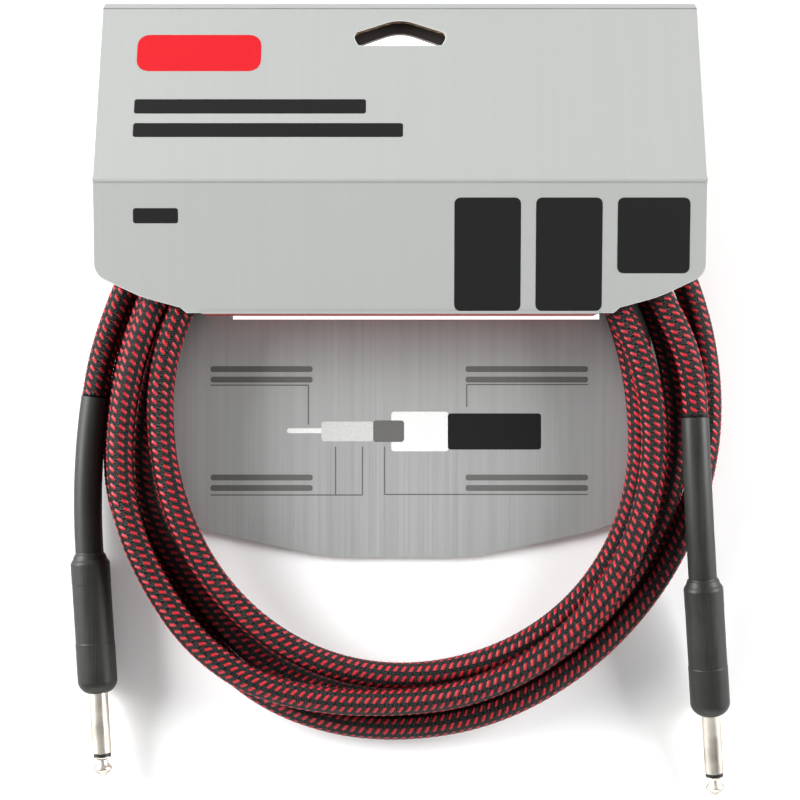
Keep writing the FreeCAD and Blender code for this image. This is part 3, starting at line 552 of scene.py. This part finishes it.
def braided_tube(name, line):
    """A tube whose rings and columns follow the strands of the braid, so each dash has its own faces."""
    line, distance, ways, normals = frames_along(line)
    total = distance[-1]
    shares = np.array([(row + column) / ROWS for row in range(ROWS) for column, _ in COLUMNS])
    swell = np.array([lift for _ in range(ROWS) for _, lift in COLUMNS])
    zigzag = np.array([
        DASH_RISE * (1 - column / DASH_SHARE) if column <= DASH_SHARE else 0.0
        for _ in range(ROWS) for column, _ in COLUMNS
    ])
    stations, lifts, stripes = [0.0], [0.0], [0.0]
    pitches = int((total - DASH_RISE) / PITCH)
    pitch = (total - DASH_RISE) / pitches
    for index in range(pitches):
        for share, lift, stripe in STRANDS:
            if index + share > 0:
                stations.append((index + share) * pitch)
                lifts.append(lift)
                stripes.append(index * STRIPES + stripe)
    stations.append(total)
    lifts.append(0.0)
    stripes.append(pitches * STRIPES)
    stations, lifts, stripes = np.array(stations), np.array(lifts), np.array(stripes)
    along = stations[:, None] + zigzag[None, :]
    along[0], along[-1] = 0.0, total
    along = np.minimum(along, total)
    centre = at(distance, line, along)
    way = at(distance, ways, along)
    normal = at(distance, normals, along)
    normal -= way * np.sum(normal * way, axis=-1, keepdims=True)
    normal /= np.linalg.norm(normal, axis=-1, keepdims=True)
    side = np.cross(way, normal)
    drift = TWIST * np.sin(along / total * math.tau * TWIST_WAVES) + TWIST_DRIFT * along / total
    angle = math.tau * shares[None, :] + drift
    radius = CABLE / 2 + lifts[:, None] + swell[None, :]
    out = normal * np.cos(angle)[..., None] + side * np.sin(angle)[..., None]
    places = centre + out * radius[..., None]
    rings, columns = along.shape
    grid = np.arange(rings * columns).reshape(rings, columns)
    after = np.roll(grid, -1, axis=1)
    quads = np.stack([grid[:-1], after[:-1], after[1:], grid[1:]], axis=-1).reshape(-1, 4)
    ends = [tuple(grid[0, ::-1]), tuple(grid[-1])]
    faces = quads.tolist() + ends
    piece = mesh_object(name, places.reshape(-1, 3), faces, (BLACK_YARN, RED_YARN), smooth=True)
    in_dash = np.array([column < DASH_COLUMNS for _ in range(ROWS) for column in range(len(COLUMNS))])
    strand = np.arange(rings - 1) % len(STRANDS)
    red = (strand[:, None] < DASH_RINGS) & in_dash[None, :]
    red[0] = False
    slots = np.r_[red.reshape(-1).astype(int), 0, 0]
    piece.data.polygons.foreach_set("material_index", slots)
    layer = piece.data.uv_layers.new(name="weave")
    u = np.r_[shares, 1.0] * ROWS
    first = np.broadcast_to(np.arange(columns), (rings - 1, columns))
    low = np.broadcast_to(stripes[:-1, None], (rings - 1, columns))
    high = np.broadcast_to(stripes[1:, None], (rings - 1, columns))
    corners = np.stack([
        np.stack([u[first], low], -1), np.stack([u[first + 1], low], -1),
        np.stack([u[first + 1], high], -1), np.stack([u[first], high], -1),
    ], axis=2)
    flat = np.concatenate([corners.reshape(-1, 2), np.zeros((2 * columns, 2))])
    layer.data.foreach_set("uv", flat.reshape(-1))
    return piece, at(distance, line, stations)


def make_cord():
    line = spline_line(cord_route())
    piece, centres = braided_tube("woven_cable", line)
    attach(piece, "base")
    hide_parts("cable_coil", "left_lead", "right_lead")


# The card: fluted boards, the skins of their folds, and the print

# Thickness of the sheets in a board, the pitch of its flutes and the lines drawn in one flute
LINER = 0.00025
FLUTE_SHEET = 0.00018
FLUTE_PITCH = 0.0034
FLUTE_LINES = 8

# How high the print and the skins lie over a board
PRINT_LIFT = 0.00003

# Width and depth of the edge that the cutter crushes round a face
CRUSH_WIDTH, CRUSH_DEPTH = 0.00024, 0.00010

# Half the width in which the hang hole lies, and how far its lower half is pulled down
HOLE_HALF_WIDTH, HOLE_DROP = 0.03, 0.0017

# Axes of the top fold, the crease and the foot, and the way that each panel's outer face looks
FOLD_HEIGHT = 0.0019
FOLD = Vector((0, 0.1352, FOLD_HEIGHT))
CREASE = Vector((0, 0.072856, 0.026507))
FOOT = Vector((0, 0.028799, 0.021876))
OUT_OF_UPPER = Vector((0, math.sin(math.radians(20)), math.cos(math.radians(20))))
OUT_OF_LOWER = Vector((0, -math.sin(math.radians(6)), math.cos(math.radians(6))))
OUT_OF_FLAP = Vector((0, -1, 0))
OUT_OF_TONGUE = Vector((0, 0, 1))

# From the axis of the top fold to the outer face of the upper panel
FOLD_TO_FACE = 0.0018

# The skin of the top fold: its half width at its ends and over the fold, how near to and how far from the
# axis it lies on each panel, how far it goes round past the axis and back, and its angles round the fold
SKIN_END_HALF, SKIN_FOLD_HALF = 0.1014, 0.1008
SKIN_NEAR, SKIN_FAR = 0.0006, 0.0022
FOLD_DEPTH, FOLD_BACK = 0.0005, 0.0001
FOLD_FROM, FOLD_TURN, FOLD_STEPS = -90, 160, 8

# The skins of the crease and the foot: how far from the axis they start to bend, blend and end
BEND_NEAR, BLEND_FROM, BEND_FAR = 0.0001, 0.0003, 0.0008

# Depth of a skin as a share of the liner's
SKIN_DEPTH = 0.8

# Half widths of the skins of the crease and the foot
CREASE_HALF, FOOT_HALF = 0.10155, 0.0662

# Slots of a board's materials
OUTER, INNER, EDGE, INSIDE, CRUSHED = range(5)

# How nearly a face looks along a way to count as facing it, the distance at which corners are one, and how far
# the flutes start inside a board's sides
FACING, WELD, FLUTE_INSET = 0.999, 1e-6, 1e-5


class Gathered:
    """Vertices and faces gathered for one mesh, with the material slot of each face."""

    def __init__(self):
        self.vertices, self.faces, self.slots = [], [], []

    def add(self, vertices, faces, slot):
        start = len(self.vertices)
        self.vertices += vertices
        self.faces += [tuple(start + index for index in face) for face in faces]
        self.slots += [slot] * len(faces)

    def build(self, name, materials):
        made = mesh_object(name, self.vertices, self.faces, materials)
        made.data.polygons.foreach_set("material_index", self.slots)
        return made


def deepen_hole(sheet):
    """Pull the lower half of the hang hole down."""
    hole = [vertex for vertex in sheet.verts if vertex.is_boundary and abs(vertex.co.x) < HOLE_HALF_WIDTH]
    lowest, highest = min(vertex.co.y for vertex in hole), max(vertex.co.y for vertex in hole)
    middle = (lowest + highest) / 2
    down = Vector((0, -OUT_OF_UPPER.z, OUT_OF_UPPER.y))
    for vertex in hole:
        share = max(0, (middle - vertex.co.y) / (middle - lowest))
        vertex.co += down * HOLE_DROP * share


def flat_face(node, way):
    """Corners, faces and rim of the face of a node that looks along way."""
    sheet = bmesh.new()
    sheet.from_mesh(NODES[node].data)
    sheet.normal_update()
    others = [face for face in sheet.faces if face.normal.dot(way) < FACING]
    bmesh.ops.delete(sheet, geom=others, context="FACES")
    bmesh.ops.remove_doubles(sheet, verts=sheet.verts, dist=WELD)
    if node == "card_front_upper":
        deepen_hole(sheet)
    sheet.verts.index_update()
    corners = [vertex.co.copy() for vertex in sheet.verts]
    faces = [tuple(vertex.index for vertex in face.verts) for face in sheet.faces]
    rim = [(loop.vert.index, loop.link_loop_next.vert.index)
           for edge in sheet.edges if edge.is_boundary for loop in edge.link_loops]
    sheet.free()
    return corners, faces, rim


def drawn_in(corners, rim, way):
    """The corners, with those of the rim moved in by the width of the crushed edge."""
    inward = [[] for _ in corners]
    for a, b in rim:
        side = way.cross((corners[b] - corners[a]).normalized())
        inward[a].append(side)
        inward[b].append(side)
    moved = []
    for corner, sides in zip(corners, inward):
        if len(sides) == 2:
            first, second = sides
            corner = corner + (first + second) / (1 + max(0, first.dot(second))) * CRUSH_WIDTH
        moved.append(corner)
    return moved


def slab(board, corners, faces, rim, down, face_slot, crushed_slot):
    """A sheet of paper with its cut edges, crushed a little along the face."""
    count = len(corners)
    way = -down.normalized()
    face = drawn_in(corners, rim, way)
    corners = [corner - way * CRUSH_DEPTH for corner in corners]
    board.add(face, faces, face_slot)
    board.add(face + corners, [(count + a, count + b, b, a) for a, b in rim], crushed_slot)
    both = corners + [corner + way * CRUSH_DEPTH + down for corner in corners]
    board.add(both, [tuple(count + index for index in reversed(face)) for face in faces], INSIDE)
    board.add(both, [(b, a, count + a, count + b) for a, b in rim], EDGE)


def flutes(board, corners, rim, way, middle):
    """The waved sheet between the liners, cut to the outline of the panel."""
    along = Vector((0, way.z, -way.y))
    edges = [(corners[a], corners[b]) for a, b in rim]
    runs = [(start.x, start.dot(along), end.x, end.dot(along)) for start, end in edges]
    left = min(run[0] for run in runs) + FLUTE_INSET
    right = max(run[0] for run in runs) - FLUTE_INSET
    count = round((right - left) / FLUTE_PITCH * FLUTE_LINES)
    swing = BOARD / 2 - LINER - FLUTE_SHEET / 2
    lines = []
    for index in range(count + 1):
        x = left + (right - left) * index / count
        cuts = sorted(v + (w - v) * (x - start) / (end - start) for start, v, end, w in runs
                      if (start - x) * (end - x) < 0)
        wave = middle + swing * math.sin(math.tau * x / FLUTE_PITCH)
        lines.append((x, wave, list(zip(cuts[::2], cuts[1::2]))))
    for (x, wave, spans), (next_x, next_wave, next_spans) in zip(lines, lines[1:]):
        for (low, high), (next_low, next_high) in zip(spans, next_spans):
            corner = [
                Vector((place, 0, 0)) + along * run + way * (height + side * FLUTE_SHEET / 2)
                for side in (1, -1)
                for place, height, run in (
                    (x, wave, low), (next_x, next_wave, next_low),
                    (next_x, next_wave, next_high), (x, wave, high))
            ]
            board.add(corner, [(0, 1, 2, 3), (7, 6, 5, 4)], INSIDE)
            board.add(corner, [(1, 0, 4, 5), (3, 2, 6, 7)], EDGE)


def make_board(name, node, body, way, outer, inner):
    """A printed outer liner, a waved sheet and an inner liner, in place of a panel's plain solid."""
    board = Gathered()
    corners, faces, rim = flat_face(node, way)
    slab(board, corners, faces, rim, way * -LINER, OUTER, CRUSHED)
    corners, faces, rim = flat_face(node, -way)
    slab(board, corners, faces, rim, way * LINER, INNER, EDGE)
    flutes(board, corners, rim, way, corners[0].dot(way) + BOARD / 2)
    # The crushed rims take the paler cut edge, partly a painted highlight.
    piece = board.build(name, (outer, inner, BOARD_EDGE, CORE, CUT_EDGE_AND_HIGHLIGHT))
    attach(piece, body)
    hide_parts(node)


def make_skin(name, places, halves, slots, materials):
    """Liner that runs on over a fold, from one panel to the next."""
    skin = Gathered()
    places = [Vector((0, *place)) for place in places]
    for index in range(len(places) - 1):
        corners = []
        for number in (index, index + 1):
            before = places[max(number - 1, 0)]
            after = places[min(number + 1, len(places) - 1)]
            run = (after - before).normalized()
            inward = Vector((0, run.z, -run.y)) * LINER * SKIN_DEPTH
            for place in (places[number], places[number] + inward):
                for side in (-1, 1):
                    corners.append(place + Vector((side * halves[number], 0, 0)))
        skin.add(corners, [(1, 0, 4, 5), (2, 3, 7, 6), (0, 2, 6, 4), (3, 1, 5, 7)], slots[index])
    piece = skin.build(name, materials)
    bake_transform(piece)


def make_skins():
    """The top fold goes round to the back; the crease and the foot are sharp."""
    fold = [(FOLD.y - SKIN_FAR, -PRINT_LIFT), (FOLD.y - SKIN_NEAR, -PRINT_LIFT)]
    for step in range(FOLD_STEPS):
        angle = math.radians(FOLD_FROM + FOLD_TURN * step / FOLD_STEPS)
        fold.append((FOLD.y + FOLD_DEPTH * math.cos(angle) - FOLD_BACK,
                     FOLD.z + (FOLD_HEIGHT + PRINT_LIFT) * math.sin(angle)))
    down = Vector((0, -OUT_OF_UPPER.z, OUT_OF_UPPER.y))
    for along in (SKIN_NEAR, SKIN_FAR):
        place = FOLD + OUT_OF_UPPER * (FOLD_TO_FACE + PRINT_LIFT) + down * along
        fold.append((place.y, place.z))
    halves = [SKIN_END_HALF] + [SKIN_FOLD_HALF] * (len(fold) - 2) + [SKIN_END_HALF]
    make_skin("top_fold_skin", fold, halves, [0] * (len(fold) - 1),
              (CARD_GREY,))
    for name, place, first, second, half, slots, bodies in (
        ("crease_skin", CREASE, OUT_OF_UPPER, OUT_OF_LOWER, CREASE_HALF, (0, 0, 0, 0),
         ("front_upper", "front_lower")),
        ("foot_skin", FOOT, OUT_OF_LOWER, OUT_OF_FLAP, FOOT_HALF, (0, 0, 1, 1),
         ("front_lower", "tuck_flap")),
    ):
        back_along = Vector((0, first.z, -first.y))
        on_along = Vector((0, -second.z, second.y))
        corner = place + (first + second).normalized() * PRINT_LIFT
        line = [
            place + back_along * BEND_FAR + first * PRINT_LIFT,
            place + back_along * BEND_NEAR + first * PRINT_LIFT,
            corner,
            place + on_along * BEND_NEAR + second * PRINT_LIFT,
            place + on_along * BEND_FAR + second * PRINT_LIFT,
        ]
        make_skin(name, [(point.y, point.z) for point in line], [half] * 5, slots,
                  (CARD_GREY, CARD_RED))


# Steps in the quarter circle at a bar's corner, and the heights over a board that shapes take in turn, as
# shares of the lift, so that none that overlap lie in one plane
BAR_STEPS = 4
LIFT_SHARE, LIFT_TURNS = 0.1, 5


def rounded_bar(left, right, low, high, radius=0.8):
    """Corners of a bar with round ends, in mm on its panel."""
    radius = min(radius, (right - left) / 2, (high - low) / 2)
    corners = []
    for x, y, first in ((right, high, 0), (left, high, 90), (left, low, 180), (right, low, 270)):
        middle_x = x - math.copysign(radius, x - (left + right) / 2)
        middle_y = y - math.copysign(radius, y - (low + high) / 2)
        for step in range(BAR_STEPS + 1):
            angle = math.radians(first + 90 / BAR_STEPS * step)
            corners.append((middle_x + radius * math.cos(angle), middle_y + radius * math.sin(angle)))
    return corners


def print_on(name, body, origin, way, shapes, inks):
    """Flat shapes of ink on a panel, each given as its ink and its corners in mm across and up."""
    layer = Gathered()
    up = Vector((0, way.z, -way.y))
    for number, (slot, corners) in enumerate(shapes):
        lift = PRINT_LIFT * (1 + LIFT_SHARE * (number % LIFT_TURNS))
        places = [origin + Vector((x * MM, 0, 0)) + up * (y * MM) + way * lift for x, y in corners]
        layer.add(places, [tuple(range(len(places)))], slot)
    piece = layer.build(name, inks)
    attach(piece, body)


def make_print():
    """Plain bars and a simple stepped figure."""
    upper = FOLD + OUT_OF_UPPER * FOLD_TO_FACE
    print_on("upper_print", "front_upper", upper, OUT_OF_UPPER, [
        (0, rounded_bar(-89, -47, -26.5, -12.5, 4.0)),
        (1, rounded_bar(-89, -11.4, -42.6, -37.2)),
        (1, rounded_bar(-89, 1, -51.4, -46.2)),
    ], (RED_INK, DARK_INK))
    print_on("lower_print", "front_lower", CREASE, OUT_OF_LOWER, [
        (0, rounded_bar(-88.3, -73.4, -14.5, -9.5)),
        (0, rounded_bar(18, 40, -43.5, -6, 2.0)),
        (0, rounded_bar(45, 67, -43.5, -6, 2.0)),
        (0, rounded_bar(72, 96, -31, -6, 2.0)),
    ], (DARK_INK,))
    bars = [(left, right, low, high) for left, right in ((-65, -30), (22.5, 64.5))
            for low, high in ((6, 8), (9.6, 11.6), (-27.6, -25.6), (-31.2, -29.2))]
    rules = [
        (-65, -31.4, 4.9, 5.3), (22.8, 64.5, 5.1, 5.5), (-65, -12.9, -32.8, -32.4),
        (-5.3, 64.5, -32.6, -32.2), (-31.6, -31.2, -8.4, 5.1), (22.7, 23.1, -2.4, 5.3),
        (-22.3, -21.9, -32.6, -16), (-13.1, -12.7, -32.6, -16), (-5.5, -5.1, -32.4, -16),
    ]
    figure = [
        (-38.8, -25.2, -11.4, -9.7, 3), (-27, -9, -14.2, -7.4, 2), (-9.2, 1.4, -14.4, -7.0, 1),
        (-3, 16.6, -17.6, -4.0, 3), (16.4, 48.4, -17.0, -4.6, 0),
    ]
    shapes = [(1, rounded_bar(*bar)) for bar in bars] + [(1, rounded_bar(*rule, 0.1)) for rule in rules]
    shapes += [(step[-1], rounded_bar(*step[:-1], 1.0)) for step in figure]
    print_on("tongue_print", "base", Vector((0, 0, BOARD)), OUT_OF_TONGUE, shapes,
             (DARK_INK, GREY_INK, PALE_INK, WHITE_INK))


def make_card():
    make_board("board_back", "card_back", "base", OUT_OF_TONGUE, CARD_SATIN, CARD_GREY)
    make_board("board_upper", "card_front_upper", "front_upper", OUT_OF_UPPER, CARD_GREY, CARD_PLAIN)
    make_board("board_lower", "card_front_lower", "front_lower", OUT_OF_LOWER, CARD_GREY, CARD_PLAIN)
    make_board("board_flap", "card_tuck_flap", "tuck_flap", OUT_OF_FLAP, CARD_RED, CARD_PLAIN)
    make_skins()
    make_print()


# The floor and the lights

# Half the width of the floor and how far it lies below the card
FLOOR_HALF, FLOOR_DROP = 3.0, 0.0004

# The floor glows more under the card, as painted light that lifts the card's shadow where the floor shows
# through the hang hole and the slot: half the width of that part, its middle in Y and half its length, and
# what it adds to the glow of the rest
PAINTED_LIGHT_HALF_WIDTH, PAINTED_LIGHT_MIDDLE, PAINTED_LIGHT_HALF_LENGTH = 0.075, 0.0755, 0.0555
PAINTED_LIGHT_UNDER_CARD, FLOOR_GLOW = 0.88, 0.12


def make_floor():
    made = Nodes("pale_floor", 0.9)
    tone = made.noise(8, 2)
    made.colour(made.ramp(tone, (0.3, 0.86), (0.7, 0.88)))
    made.shader.inputs["Emission Color"].default_value = (1, 1, 1, 1)
    split = made.node("SeparateXYZ")
    made.join(made.coordinates(), split.inputs["Vector"])
    near_x = made.maths("COMPARE", split.outputs["X"], 0, PAINTED_LIGHT_HALF_WIDTH)
    near_y = made.maths("COMPARE", split.outputs["Y"], PAINTED_LIGHT_MIDDLE, PAINTED_LIGHT_HALF_LENGTH)
    # Painted light: the floor under the card glows brighter against the card's shadow; the rest glows evenly.
    glow_and_painted_light = made.maths("MULTIPLY_ADD", made.maths("MULTIPLY", near_x, near_y), PAINTED_LIGHT_UNDER_CARD, FLOOR_GLOW)
    made.join(glow_and_painted_light, made.shader.inputs["Emission Strength"])
    sides = ((-1, -1), (1, -1), (1, 1), (-1, 1))
    corners = [(x * FLOOR_HALF, y * FLOOR_HALF, -FLOOR_DROP) for x, y in sides]
    floor = mesh_object("floor", corners, [(0, 1, 2, 3)], (made.material,))


def area_light(name, place, target, width, height, power):
    """A light of some width and height in metres and power in watts, turned to its target."""
    data = bpy.data.lights.new(name, "AREA")
    data.shape = "RECTANGLE"
    data.size, data.size_y = width, height
    data.energy = power
    lamp = link(bpy.data.objects.new(name, data))
    lamp.location = place
    lamp.rotation_mode = "QUATERNION"
    lamp.rotation_quaternion = (Vector(target) - Vector(place)).to_track_quat("-Z", "Y")
    return lamp


def make_light():
    """A pale tent that is brighter round its sides than overhead, with a softbox at the left, the right and
    the front, and a sheet overhead that only shows in reflections."""
    scene = bpy.context.scene
    scene.view_settings.view_transform = "Standard"
    world = bpy.data.worlds.new("studio")
    scene.world = world
    world.use_nodes = True
    nodes, links = world.node_tree.nodes, world.node_tree.links
    place = nodes.new("ShaderNodeTexCoord")
    split = nodes.new("ShaderNodeSeparateXYZ")
    ramp = nodes.new("ShaderNodeValToRGB")
    for point, (position, grey) in zip(ramp.color_ramp.elements, ((0.15, 1), (0.7, 0.07))):
        point.position = position
        point.color = (grey, grey, grey, 1)
    links.new(place.outputs["Generated"], split.inputs["Vector"])
    links.new(split.outputs["Z"], ramp.inputs["Fac"])
    links.new(ramp.outputs["Color"], nodes["Background"].inputs["Color"])
    area_light("left_softbox", (-1.1, 0.4, 0.45), (0, 0, 0), 0.8, 0.5, 38)
    area_light("right_softbox", (1.1, 0.3, 0.42), (0, 0, 0), 0.8, 0.5, 26)
    area_light("front_softbox", (0, -1.2, 0.34), (0, 0, 0), 1.4, 0.4, 9)
    sheen = area_light("overhead_sheen", (-0.9, 0, 1.6), (-0.9, 0, 0), 3.2, 3.2, 10)
    sheen.visible_diffuse = False


def dress_nodes():
    """Every carried-over node gets the material of its slot."""
    for row in frame["record"]["subparts"]:
        materials = NODES[row["node"]].data.materials
        materials.clear()
        materials.append(SLOT_MATERIALS[row["material_slot"]])


look_down()
make_floor()
make_light()
dress_nodes()
make_cord()
make_card()
